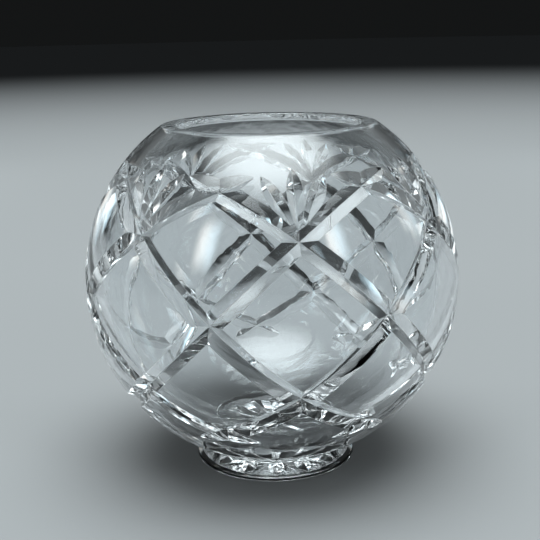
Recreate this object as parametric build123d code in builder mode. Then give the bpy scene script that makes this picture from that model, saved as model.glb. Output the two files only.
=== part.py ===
from build123d import *
from math import acos, asin, atan, cos, degrees, radians, sin, sqrt, tan
import os

# Cut-crystal rose bowl: a blown globe of clear glass with a ground mouth, stuck hot to a low
# round foot. The globe is cut outside with a lattice of mitre grooves and a row of fans, and the
# foot is star-cut underneath. The origin is the centre of the face that it stands on, +Z is up,
# and one fan faces the front, which is -Y. Millimetres and degrees.

# Globe
globe_radius = 100.0
wall_thickness = 9.0
base_thickness = 5.0
rim_radius = 56.5
mouth_radius = 48.5
rim_bevel = 0.6

# Foot
joint_radius = 36.0
foot_radius = 43.8
foot_height = 8.1
foot_edge_height = 2.6
foot_bevel = 0.8
rest_ring_width = 6.0
underside_hollow = 1.0

# Lattice of mitre grooves: each one runs round the globe on a slanting plane through its centre
repeats = 7
lattice_slope = 44.1
groove_depth = 3.2
groove_angle = 120.0
groove_wheel_radius = 70.0
groove_overrun = 1.5

# Fans of leaf cuts, one fan standing on each upper crossing
fan_spread = 24.5
leaf_reach = 24.5
leaf_depth = 2.3
leaf_angle = 120.0
leaf_wheel_radius = 45.0

# Star under the foot: rays that start at a point near the middle and get deeper outwards
star_rays = 14
star_turn = -8.0
star_inner_radius = 2.0
star_deep_radius = 30.5
star_depth = 2.6
star_angle = 120.0
star_wheel_radius = 10.0

# How far a cutting wheel stands clear of the glass where a cut ends
wheel_clearance = 2.0

# Heights that follow from the sizes above
globe_height = foot_height + sqrt(globe_radius**2 - joint_radius**2)
rim_height = globe_height + sqrt(globe_radius**2 - rim_radius**2)
hollow_radius = globe_radius - wall_thickness
hollow_height = foot_height + base_thickness + hollow_radius
throat_height = hollow_height + sqrt(hollow_radius**2 - mouth_radius**2)
globe_centre = Vector(0, 0, globe_height)
crossing_step = 180.0 / repeats

os.makedirs("parts", exist_ok=True)


def lift_angle(floor_radius, wheel_radius):
    """Angle that a wheel turns through from the floor of a cut to clear of the globe."""
    axle = floor_radius + wheel_radius
    clear = globe_radius + wheel_clearance
    return degrees(acos((wheel_radius**2 + axle**2 - clear**2) / (2 * wheel_radius * axle)))


def mitre_cutter(floor, outward, angle, depth):
    """Solid that a V-edged wheel sweeps when its edge follows the floor line of a cut."""
    height = depth + wheel_clearance
    half_width = height * tan(radians(angle / 2))
    with BuildPart() as cutter:
        with BuildSketch(Plane(floor @ 0, x_dir=outward, z_dir=floor % 0)):
            with BuildLine():
                Polyline((0, 0), (height, half_width), (height, -half_width), close=True)
            make_face()
        sweep(path=floor)
    return cutter.part


def groove_cutter(slope):
    """Cutter of one lattice groove, which crosses the middle of the globe beside the front fan."""
    outward = Vector(0, -1, 0).rotate(Axis.Z, crossing_step)
    travel = Vector(1, 0, 0).rotate(Axis.Z, crossing_step).rotate(Axis((0, 0, 0), outward), slope)
    normal = travel.cross(outward)
    floor_radius = globe_radius - groove_depth
    last_crossing = degrees(atan(tan(radians(2 * crossing_step)) / cos(radians(slope))))
    reach = last_crossing + degrees(groove_overrun / globe_radius)
    lift = lift_angle(floor_radius, groove_wheel_radius)
    cut_plane = Plane(globe_centre, x_dir=travel, z_dir=normal)
    with BuildLine(cut_plane) as floor:
        level = CenterArc((0, 0), floor_radius, 90, -reach)
        JernArc(level @ 1, level % 1, groove_wheel_radius, lift)
        mirror(about=Plane(globe_centre, z_dir=travel))
    return mitre_cutter(floor.wire(), outward, groove_angle, groove_depth)


def leaf_cutter(bearing):
    """Cutter of one fan leaf, straight up from the front crossing or turned to the side of it."""
    latitude = degrees(atan(tan(radians(lattice_slope)) * sin(radians(crossing_step))))
    root = Vector(0, -1, 0).rotate(Axis.X, -latitude)
    along = Vector(0, 0, 1).rotate(Axis.X, -latitude).rotate(Axis((0, 0, 0), root), bearing)
    side = along.cross(root)
    turn = degrees(leaf_reach / globe_radius)
    outward = root.rotate(Axis((0, 0, 0), side), -turn)
    travel = along.rotate(Axis((0, 0, 0), side), -turn)
    floor_radius = globe_radius - leaf_depth
    tail = sqrt((globe_radius + wheel_clearance) ** 2 - floor_radius**2)
    with BuildLine(Plane(globe_centre, x_dir=travel, z_dir=side)) as floor:
        Line((-tail, floor_radius), (0, floor_radius))
        JernArc((0, floor_radius), (1, 0), leaf_wheel_radius, lift_angle(floor_radius, leaf_wheel_radius))
    return mitre_cutter(floor.wire(), outward, leaf_angle, leaf_depth)


def star_cutter():
    """Cutter of one ray of the star under the foot, along +X."""
    lift = degrees(acos(1 - (star_depth + wheel_clearance) / star_wheel_radius))
    with BuildLine(Plane.XZ) as floor:
        slant = Line((star_inner_radius, underside_hollow), (star_deep_radius, star_depth))
        JernArc(slant @ 1, slant % 1, star_wheel_radius, -lift)
    return mitre_cutter(floor.wire(), Vector(0, 0, -1), star_angle, star_depth)


# Bowl: turned wall of the blown globe, ground flat at the rim and where the foot is stuck on
with BuildPart() as bowl:
    with BuildSketch(Plane.XZ):
        with BuildLine():
            joint_angle = degrees(asin((foot_height - globe_height) / globe_radius))
            rim_angle = degrees(asin((rim_height - globe_height) / globe_radius))
            throat_angle = degrees(asin((throat_height - hollow_height) / hollow_radius))
            outside = CenterArc((0, globe_height), globe_radius, joint_angle, rim_angle - joint_angle)
            inside = CenterArc((0, hollow_height), hollow_radius, throat_angle, -90 - throat_angle)
            Polyline(outside @ 1, (mouth_radius, rim_height), inside @ 0)
            Polyline(inside @ 1, (0, foot_height), outside @ 0)
        make_face()
    revolve(axis=Axis.Z)
    chamfer(bowl.faces().sort_by(Axis.Z)[-1].edges(), rim_bevel)
    for slope in (lattice_slope, -lattice_slope):
        groove = groove_cutter(slope)
        with PolarLocations(0, repeats):
            add(groove, mode=Mode.SUBTRACT)
    for bearing in (-fan_spread, 0, fan_spread):
        leaf = leaf_cutter(bearing)
        with PolarLocations(0, repeats):
            add(leaf, mode=Mode.SUBTRACT)

bowl.part.label = "bowl"
export_step(bowl.part, "parts/bowl.step")

# Foot: a pressed disc that spreads from the joint to a bevelled edge, hollowed a little underneath
# so that it stands on a ring
with BuildPart() as foot:
    with BuildSketch(Plane.XZ):
        with BuildLine():
            rest_radius = foot_radius - rest_ring_width
            hollow = ThreePointArc((-rest_radius, 0), (0, underside_hollow), (rest_radius, 0))
            Polyline(
                hollow @ 1,
                (foot_radius, 0),
                (foot_radius, foot_edge_height),
                (joint_radius, foot_height),
                (-rest_radius, foot_height),
                hollow @ 0,
            )
        make_face()
        split(bisect_by=Plane.YZ)
    revolve(axis=Axis.Z)
    edge_wall = foot.faces().filter_by(GeomType.CYLINDER).sort_by(Axis.Z)[0]
    chamfer(edge_wall.edges().filter_by(GeomType.CIRCLE), foot_bevel)
    ray = star_cutter()
    with PolarLocations(0, star_rays, start_angle=star_turn - 90):
        add(ray, mode=Mode.SUBTRACT)

foot.part.label = "foot"
export_step(foot.part, "parts/foot.step")
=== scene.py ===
from math import acos, asin, atan, cos, pi, radians, sin, sqrt, tan

import bmesh
import bpy
from mathutils import Matrix, Vector


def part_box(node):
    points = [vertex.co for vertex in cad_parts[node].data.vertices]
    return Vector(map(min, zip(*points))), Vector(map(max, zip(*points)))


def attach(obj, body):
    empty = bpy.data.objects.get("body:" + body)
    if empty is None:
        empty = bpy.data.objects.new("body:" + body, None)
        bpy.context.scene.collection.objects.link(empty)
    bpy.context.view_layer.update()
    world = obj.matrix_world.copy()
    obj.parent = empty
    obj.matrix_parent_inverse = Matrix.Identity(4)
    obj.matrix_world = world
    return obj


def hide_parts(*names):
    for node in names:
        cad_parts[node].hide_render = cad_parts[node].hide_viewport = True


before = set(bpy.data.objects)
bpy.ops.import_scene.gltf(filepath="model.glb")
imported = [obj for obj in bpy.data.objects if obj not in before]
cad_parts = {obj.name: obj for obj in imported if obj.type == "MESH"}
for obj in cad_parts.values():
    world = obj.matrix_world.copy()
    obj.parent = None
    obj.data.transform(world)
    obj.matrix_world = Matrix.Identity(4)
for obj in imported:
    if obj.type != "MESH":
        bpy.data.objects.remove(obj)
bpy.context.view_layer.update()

# Crystal blank: the blown globe and the low foot that is stuck on under it while both are hot, so
# that they are one body of clear glass. The rim is ground flat, and so is the ring that it stands on.
bowl_low, bowl_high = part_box("bowl")
foot_low, foot_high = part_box("foot")
globe_radius = (bowl_high.x - bowl_low.x) / 2
rim_height = bowl_high.z
foot_radius = (foot_high.x - foot_low.x) / 2
foot_height = foot_high.z
wall_thickness = 0.009
base_thickness = 0.005
mouth_radius = 0.0485
joint_radius = 0.036
foot_edge_height = 0.0026
rest_ring_width = 0.006
underside_hollow = 0.001
rounding = 0.0008
rounding_steps = 3
joint_rounding = 0.0018
joint_rounding_steps = 4
underside_steps = 16
outside_steps = 96
inside_steps = 90
blank_steps = 280

globe_height = foot_height + sqrt(globe_radius**2 - joint_radius**2)
rim_radius = sqrt(globe_radius**2 - (rim_height - globe_height) ** 2)
hollow_radius = globe_radius - wall_thickness
hollow_height = foot_height + base_thickness + hollow_radius
throat_height = hollow_height + sqrt(hollow_radius**2 - mouth_radius**2)
rest_radius = foot_radius - rest_ring_width
underside_radius = (rest_radius**2 + underside_hollow**2) / (2 * underside_hollow)


def swing(centre, axis, angle, steps):
    """Spins what is picked round an axis, right-handed, and leaves its far end picked."""
    bpy.ops.mesh.spin(steps=steps, angle=-angle, center=centre, axis=axis)


def draw_to(*points):
    """Draws on from the picked end of a line through these points, one extrusion after another."""
    for point in points:
        line = bmesh.from_edit_mesh(bpy.context.object.data)
        end = next(vertex.co.copy() for vertex in line.verts if vertex.select)
        bpy.ops.mesh.extrude_region_move(TRANSFORM_OT_translate={"value": Vector(point) - end})


def start_at(point, name):
    """Starts a line with one point, picked in edit mode, in a new object."""
    bpy.ops.object.select_all(action="DESELECT")
    bpy.ops.mesh.primitive_plane_add(size=0.01, location=(0, 0, 0))
    bpy.context.object.name = name
    bpy.ops.object.mode_set(mode="EDIT")
    bpy.ops.mesh.merge(type="CENTER")
    bpy.ops.transform.translate(value=point)
    return bpy.context.object


def round_corner(corner, size, segments):
    """Rounds one corner of the line that is being drawn."""
    line = bmesh.from_edit_mesh(bpy.context.object.data)
    bpy.ops.mesh.select_all(action="DESELECT")
    nearest = min(line.verts, key=lambda vertex: (vertex.co - Vector(corner)).length)
    nearest.select = True
    bpy.ops.mesh.bevel(offset=size, segments=segments, affect="VERTICES", clamp_overlap=False)


joint_angle = asin((foot_height - globe_height) / globe_radius)
rim_angle = asin((rim_height - globe_height) / globe_radius)
throat_angle = asin((throat_height - hollow_height) / hollow_radius)

blank = start_at((0, 0, underside_hollow), "rose_bowl")
underside_angle = asin(rest_radius / underside_radius)
swing((0, 0, underside_hollow - underside_radius), (0, 1, 0), underside_angle, underside_steps)
draw_to((foot_radius, 0, 0), (foot_radius, 0, foot_edge_height), (joint_radius, 0, foot_height))
swing((0, 0, globe_height), (0, -1, 0), rim_angle - joint_angle, outside_steps)
draw_to((mouth_radius, 0, rim_height), (mouth_radius, 0, throat_height))
swing((0, 0, hollow_height), (0, 1, 0), throat_angle + pi / 2, inside_steps)
for corner in (
    (rest_radius, 0, 0),
    (foot_radius, 0, 0),
    (foot_radius, 0, foot_edge_height),
    (rim_radius, 0, rim_height),
    (mouth_radius, 0, rim_height),
    (mouth_radius, 0, throat_height),
):
    round_corner(corner, rounding, rounding_steps)
round_corner((joint_radius, 0, foot_height), joint_rounding, joint_rounding_steps)
bpy.ops.mesh.select_all(action="SELECT")
swing((0, 0, 0), (0, 0, 1), 2 * pi, blank_steps)
bpy.ops.mesh.select_all(action="SELECT")
bpy.ops.mesh.remove_doubles(threshold=1e-6)
bpy.ops.mesh.normals_make_consistent(inside=False)
bpy.ops.object.mode_set(mode="OBJECT")

# Lattice: two sets of broad mitre grooves, cut with a V-edged stone wheel and polished. They cross
# each other round the globe in rows of diamonds, and each one runs out in a point at both ends.
repeats = 7
lattice_slope = radians(44.1)
groove_depth = 0.0032
groove_angle = radians(120)
groove_wheel_radius = 0.070
groove_overrun = 0.0015
wheel_clearance = 0.002
groove_steps = 120
lift_steps = 16
crossing_step = pi / repeats


def lift_angle(floor_radius, wheel_radius):
    """Angle that a wheel turns through from the floor of a cut to clear of the globe."""
    axle = floor_radius + wheel_radius
    clear = globe_radius + wheel_clearance
    return acos((wheel_radius**2 + axle**2 - clear**2) / (2 * wheel_radius * axle))


def wheel_edge(point, depth, angle, name):
    """Starts a cutter: the V section of the wheel, its point here and its back towards -Y."""
    height = depth + wheel_clearance
    half_width = height * tan(angle / 2)
    cutter = start_at(point, name)
    back = Vector(point) - Vector((0, height, 0))
    draw_to(back + Vector((0, 0, half_width)), back - Vector((0, 0, half_width)))
    bpy.ops.mesh.select_all(action="SELECT")
    bpy.ops.mesh.edge_face_add()
    return cutter


def end_cutter():
    """Turns the cutter's faces outwards and goes back to object mode."""
    bpy.ops.mesh.select_all(action="SELECT")
    bpy.ops.mesh.normals_make_consistent(inside=False)
    bpy.ops.object.mode_set(mode="OBJECT")


def cut(cutter, turn, count):
    """Takes the cutter away from the blank, evenly round the axis from this turn on."""
    place = cutter.matrix_world.copy()
    for number in range(count):
        cutter.matrix_world = Matrix.Rotation(turn + number * 2 * pi / count, 4, "Z") @ place
        stone = blank.modifiers.new("cut", "BOOLEAN")
        stone.solver = "MANIFOLD"
        stone.object = cutter
        bpy.context.view_layer.objects.active = blank
        bpy.ops.object.modifier_apply(modifier=stone.name)
    bpy.data.objects.remove(cutter)


for slope in (lattice_slope, -lattice_slope):
    floor_radius = globe_radius - groove_depth
    axle_radius = floor_radius + groove_wheel_radius
    reach = atan(tan(2 * crossing_step) / cos(slope)) + groove_overrun / globe_radius
    lift = lift_angle(floor_radius, groove_wheel_radius)
    groove = wheel_edge((0, -floor_radius, 0), groove_depth, groove_angle, "groove")
    bpy.ops.object.mode_set(mode="OBJECT")
    axle_in = Vector((-sin(reach), -cos(reach), 0)) * axle_radius
    axle_out = Vector((sin(reach), -cos(reach), 0)) * axle_radius
    groove.data.transform(Matrix.Rotation(-reach, 4, "Z"))
    groove.data.transform(
        Matrix.Translation(axle_in) @ Matrix.Rotation(lift, 4, "Z") @ Matrix.Translation(-axle_in)
    )
    bpy.ops.object.mode_set(mode="EDIT")
    bpy.ops.mesh.select_all(action="SELECT")
    swing(axle_in, (0, 0, 1), -lift, lift_steps)
    swing((0, 0, 0), (0, 0, 1), 2 * reach, groove_steps)
    swing(axle_out, (0, 0, 1), -lift, lift_steps)
    end_cutter()
    groove.matrix_world = Matrix.Translation((0, 0, globe_height)) @ Matrix.Rotation(-slope, 4, "Y")
    cut(groove, crossing_step, repeats)

# Fans: three leaf-shaped mitre cuts spread from each upper crossing of the lattice. The wheel goes
# in at the crossing, gets deeper on the way up and lifts out in a point under the plain collar.
fan_spread = radians(24.5)
leaf_reach = 0.0245
leaf_depth = 0.0023
leaf_angle = radians(120)
leaf_wheel_radius = 0.045
leaf_steps = 20

fan_latitude = atan(tan(lattice_slope) * sin(crossing_step))
for bearing in (-fan_spread, 0, fan_spread):
    floor_radius = globe_radius - leaf_depth
    tail = sqrt((globe_radius + wheel_clearance) ** 2 - floor_radius**2)
    leaf = wheel_edge((-tail, -floor_radius, 0), leaf_depth, leaf_angle, "leaf")
    bpy.ops.mesh.extrude_region_move(TRANSFORM_OT_translate={"value": (tail, 0, 0)})
    axle = (0, -floor_radius - leaf_wheel_radius, 0)
    swing(axle, (0, 0, 1), -lift_angle(floor_radius, leaf_wheel_radius), leaf_steps)
    end_cutter()
    leaf.matrix_world = (
        Matrix.Translation((0, 0, globe_height))
        @ Matrix.Rotation(-fan_latitude, 4, "X")
        @ Matrix.Rotation(-bearing - pi / 2, 4, "Y")
        @ Matrix.Rotation(leaf_reach / globe_radius, 4, "Z")
    )
    cut(leaf, 0, repeats)

# Star: mitre rays cut into the underside of the foot. Each one starts in a point near the middle,
# gets deeper outwards and lifts out before the ring that the bowl stands on.
star_rays = 14
star_turn = radians(-8 - 90)
star_inner_radius = 0.002
star_deep_radius = 0.0305
star_depth = 0.0026
star_angle = radians(120)
star_wheel_radius = 0.010
star_steps = 12

slant = atan((star_depth - underside_hollow) / (star_deep_radius - star_inner_radius))
ray = wheel_edge((star_inner_radius, underside_hollow, 0), star_depth, star_angle, "ray")
ray_run = (star_deep_radius - star_inner_radius, star_depth - underside_hollow, 0)
bpy.ops.mesh.extrude_region_move(TRANSFORM_OT_translate={"value": ray_run})
axle = (
    star_deep_radius + star_wheel_radius * sin(slant),
    star_depth - star_wheel_radius * cos(slant),
    0,
)
star_lift = acos(1 - (star_depth + wheel_clearance) / star_wheel_radius)
swing(axle, (0, 0, 1), -star_lift, star_steps)
end_cutter()
ray.matrix_world = Matrix.Rotation(pi / 2, 4, "X")
cut(ray, star_turn, star_rays)

# Polish: the cut glass is dipped in acid until it is clear. That leaves the edges of the cuts a little
# round, the cut faces faintly wavy, and years on a table leave the standing ring finely scratched.
glass_colour = (0.97, 0.99, 1.0, 1)
scratched_colour = (0.90, 0.92, 0.93, 1)
glass_bend = 1.55
edge_rounding = 0.0004
edge_lean = 0.06
edge_roughness = 0.35
cut_start = 0.0001
cut_full = 0.0005
outside_start = 0.004
outside_full = 0.005
cut_roughness = 0.03
polish_mark_size = 1 / 500
ring_roughness = 0.30
ring_height = 0.0004
scratch_size = 1 / 900
scratch_start = 0.35
scratch_full = 0.7
wave_size = 1 / 120
wave_height = 0.00006
smooth_angle = radians(12)
smallest_edge = 1e-5


class Value:
    """A socket in a node tree. Sums with it add Math nodes to that tree."""

    def __init__(self, tree, socket=None):
        self.tree = tree
        self.socket = socket

    def feed(self, node, inputs):
        """Links each of these inputs of a node, or sets it where it is a plain number or colour."""
        for name, value in inputs.items():
            if isinstance(value, Value):
                self.tree.links.new(value.socket, node.inputs[name])
            else:
                node.inputs[name].default_value = value

    def node(self, kind, settings, inputs, result):
        """Adds a node of this kind, sets it, feeds it and gives the output of this name."""
        added = self.tree.nodes.new(kind)
        for name, setting in settings.items():
            setattr(added, name, setting)
        self.feed(added, inputs)
        return Value(self.tree, added.outputs[result])

    def between(self, start, end):
        """0 up to the start, 1 from the end on and a smooth rise between them."""
        ends = {"Value": self, "From Min": start, "From Max": end}
        return self.node("ShaderNodeMapRange", {"interpolation_type": "SMOOTHSTEP"}, ends, "Result")

    def mixed(self, none, full):
        """The first colour where this value is 0, the second where it is 1."""
        colours = {"Factor": self, "A": none, "B": full}
        return self.node("ShaderNodeMix", {"data_type": "RGBA"}, colours, "Result")

    def sum(self, operation, first, second):
        """Adds a Math node that works on these two."""
        return self.node("ShaderNodeMath", {"operation": operation}, {0: first, 1: second}, "Value")

    def __add__(self, other):
        return self.sum("ADD", self, other)

    __radd__ = __add__

    def __sub__(self, other):
        return self.sum("SUBTRACT", self, other)

    def __rsub__(self, other):
        return self.sum("SUBTRACT", other, self)

    def __mul__(self, other):
        return self.sum("MULTIPLY", self, other)

    __rmul__ = __mul__


bpy.ops.object.select_all(action="DESELECT")
blank.select_set(True)
bpy.context.view_layer.objects.active = blank
bpy.ops.object.mode_set(mode="EDIT")
bpy.ops.mesh.select_all(action="SELECT")
bpy.ops.mesh.dissolve_degenerate(threshold=smallest_edge)
bpy.ops.object.mode_set(mode="OBJECT")
bpy.ops.object.shade_smooth_by_angle(angle=smooth_angle)

crystal = bpy.data.materials.new("cut_crystal")
crystal.use_nodes = True
glass = Value(crystal.node_tree)
place = glass.node("ShaderNodeTexCoord", {}, {}, "Object")
height = glass.node("ShaderNodeSeparateXYZ", {}, {"Vector": place}, "Z")
middle = (0, 0, globe_height)
away = glass.node("ShaderNodeVectorMath", {"operation": "DISTANCE"}, {0: place, 1: middle}, "Value")
rounded = glass.node("ShaderNodeBevel", {"samples": 4}, {"Radius": edge_rounding}, "Normal")
flat = glass.node("ShaderNodeNewGeometry", {}, {}, "Normal")
lined_up = glass.node("ShaderNodeVectorMath", {"operation": "DOT_PRODUCT"}, {0: rounded, 1: flat}, "Value")
edge = (1 - lined_up).between(0, edge_lean)
outside = (away - hollow_radius).between(outside_start, outside_full)
in_cut = (globe_radius - away).between(cut_start, cut_full) * outside
polish_marks = glass.node(
    "ShaderNodeTexNoise", {}, {"Vector": place, "Scale": 1 / polish_mark_size}, "Fac"
)
scratches = glass.node(
    "ShaderNodeTexNoise", {}, {"Vector": place, "Scale": 1 / scratch_size, "Detail": 4.0}, "Fac"
).between(scratch_start, scratch_full)
ring = (1 - height.between(0, ring_height)) * scratches
roughness = edge * edge_roughness + in_cut * polish_marks * cut_roughness + ring * ring_roughness
waves = glass.node(
    "ShaderNodeTexNoise", {}, {"Vector": place, "Scale": 1 / wave_size, "Detail": 1.0}, "Fac"
)
surface = {"Strength": 1.0, "Distance": wave_height, "Height": waves, "Normal": rounded}
glass.feed(
    crystal.node_tree.nodes["Principled BSDF"],
    {
        "Base Color": ring.mixed(glass_colour, scratched_colour),
        "Roughness": roughness,
        "IOR": glass_bend,
        "Transmission Weight": 1.0,
        "Normal": glass.node("ShaderNodeBump", {}, surface, "Normal"),
    },
)
blank.data.materials.clear()
blank.data.materials.append(crystal)
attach(blank, "root")
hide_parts("bowl", "foot")

# Floor: a plain pale studio floor, even for a metre all round the bowl. Further out its colour is painted
# darker, a painted shade that stands in for light falling off into a dark room behind, which gives the
# clear glass its dark edges.
pale_colour = (0.34, 0.345, 0.35, 1)
# Painted shade: the near-black colour that the floor is painted far from the bowl, in place of light
# falling off.
painted_shade_colour = (0.008, 0.0082, 0.0085, 1)
painted_shade_start = 1.0
painted_shade_full = 4.0
floor_reach = 8.0

bpy.ops.object.select_all(action="DESELECT")
bpy.ops.mesh.primitive_circle_add(vertices=96, radius=floor_reach, fill_type="NGON")
floor = bpy.context.object
floor.name = "floor"
floor_with_painted_shade = bpy.data.materials.new("floor_with_painted_shade")
floor_with_painted_shade.use_nodes = True
ground = Value(floor_with_painted_shade.node_tree)
floor_spot = ground.node("ShaderNodeTexCoord", {}, {}, "Object")
from_bowl = ground.node("ShaderNodeVectorMath", {"operation": "LENGTH"}, {0: floor_spot}, "Value")
# Painted shade: the floor's colour fades from pale to near black with distance from the bowl.
ground.feed(
    floor_with_painted_shade.node_tree.nodes["Principled BSDF"],
    {
        "Base Color": from_bowl.between(painted_shade_start, painted_shade_full).mixed(pale_colour, painted_shade_colour),
        "Roughness": 0.8,
        "Specular IOR Level": 0.0,
    },
)
floor.data.materials.append(floor_with_painted_shade)

# Light: a soft glow overhead, as from a lit ceiling, over a dim room that is dark at the horizon. Six
# soft-edged panels round the bowl make the bright lines in the cuts, warm on one side and cool on the
# other, for the faint colours that lead crystal shows.
horizon_glow = 0.008
room_glow = 0.20
ceiling_glow = 6.0
warm_side = (1.0, 0.95, 0.88, 1)
cool_side = (0.68, 0.89, 1.0, 1)
glow_colour = (0.90, 0.98, 1.0, 1)
walls_from = sin(radians(2))
walls_to = sin(radians(25))
ceiling_from = sin(radians(54))
ceiling_to = sin(radians(86))
panel_distance = 1.3
soft_edge = 0.35
tint_edge = 0.1
# Name, turn round the bowl and lift above its middle in degrees, width and height in metres, glow
panels = (
    ("front_left", -50, 26, 0.34, 0.80, 6.0),
    ("front_right", 34, 26, 0.34, 0.80, 6.0),
    ("left", -108, 24, 0.30, 0.80, 4.0),
    ("right", 92, 24, 0.30, 0.80, 4.0),
    ("back_left", -150, 3, 0.50, 0.35, 2.0),
    ("back_right", 134, 3, 0.50, 0.35, 2.0),
)

for name, panel_turn, panel_lift, width, tallness, glow in panels:
    panel = bpy.data.lights.new(name, "AREA")
    panel.shape = "RECTANGLE"
    panel.size = width
    panel.size_y = tallness
    panel.energy = pi * width * tallness * glow
    panel.use_nodes = True
    sheet = Value(panel.node_tree)
    panel_spot = sheet.node("ShaderNodeNewGeometry", {}, {}, "Parametric")
    across = sheet.node("ShaderNodeSeparateXYZ", {}, {"Vector": panel_spot}, "X")
    along = sheet.node("ShaderNodeSeparateXYZ", {}, {"Vector": panel_spot}, "Y")
    fade_across = across.between(0, soft_edge) * (1 - across).between(0, soft_edge)
    fade_along = along.between(0, soft_edge) * (1 - along).between(0, soft_edge)
    tint = across.between(tint_edge, 1 - tint_edge).mixed(warm_side, cool_side)
    sheet.feed(panel.node_tree.nodes["Emission"], {"Color": tint, "Strength": fade_across * fade_along})
    stand = bpy.data.objects.new(name, panel)
    bpy.context.scene.collection.objects.link(stand)
    around = Matrix.Rotation(radians(panel_turn), 4, "Z") @ Matrix.Rotation(-radians(panel_lift), 4, "X")
    facing = around @ Vector((0, -1, 0))
    stand.matrix_world = (
        Matrix.Translation(Vector(middle) + facing * panel_distance)
        @ facing.to_track_quat("Z", "Y").to_matrix().to_4x4()
    )
    stand.visible_camera = False

room = bpy.data.worlds.new("room")
bpy.context.scene.world = room
room.use_nodes = True
air = Value(room.node_tree)
direction = air.node("ShaderNodeTexCoord", {}, {}, "Generated")
upward = air.node("ShaderNodeSeparateXYZ", {}, {"Vector": direction}, "Z")
walls = upward.between(walls_from, walls_to) * (room_glow - horizon_glow) + horizon_glow
ceiling = upward.between(ceiling_from, ceiling_to) * ceiling_glow
air.feed(room.node_tree.nodes["Background"], {"Color": glow_colour, "Strength": walls + ceiling})

# Camera: stands a little above the rim, in front and a few degrees to the left of the front fan.
camera_distance = 0.55997
camera_turn = radians(-8.01)
camera_lift = radians(14.2)
camera_roll = radians(-1.29)
camera_lens = 68.61
aim_up = 0.00261
aim_left = 0.00098

camera = bpy.data.objects.new("camera", bpy.data.cameras.new("camera"))
bpy.context.scene.collection.objects.link(camera)
camera.data.lens = camera_lens
back = Vector(
    (cos(camera_lift) * sin(camera_turn), -cos(camera_lift) * cos(camera_turn), sin(camera_lift))
)
right = Vector((cos(camera_turn), sin(camera_turn), 0))
aim = Vector(middle) + back.cross(right) * aim_up - right * aim_left
camera.matrix_world = (
    Matrix.Translation(aim + back * camera_distance)
    @ back.to_track_quat("Z", "Y").to_matrix().to_4x4()
    @ Matrix.Rotation(camera_roll, 4, "Z")
)
bpy.context.scene.camera = camera
bpy.context.scene.view_settings.view_transform = "Standard"
bpy.context.scene.cycles.max_bounces = 32
bpy.context.scene.cycles.transmission_bounces = 28
bpy.context.scene.cycles.glossy_bounces = 16
bpy.context.scene.cycles.caustics_refractive = False
bpy.context.scene.cycles.caustics_reflective = False
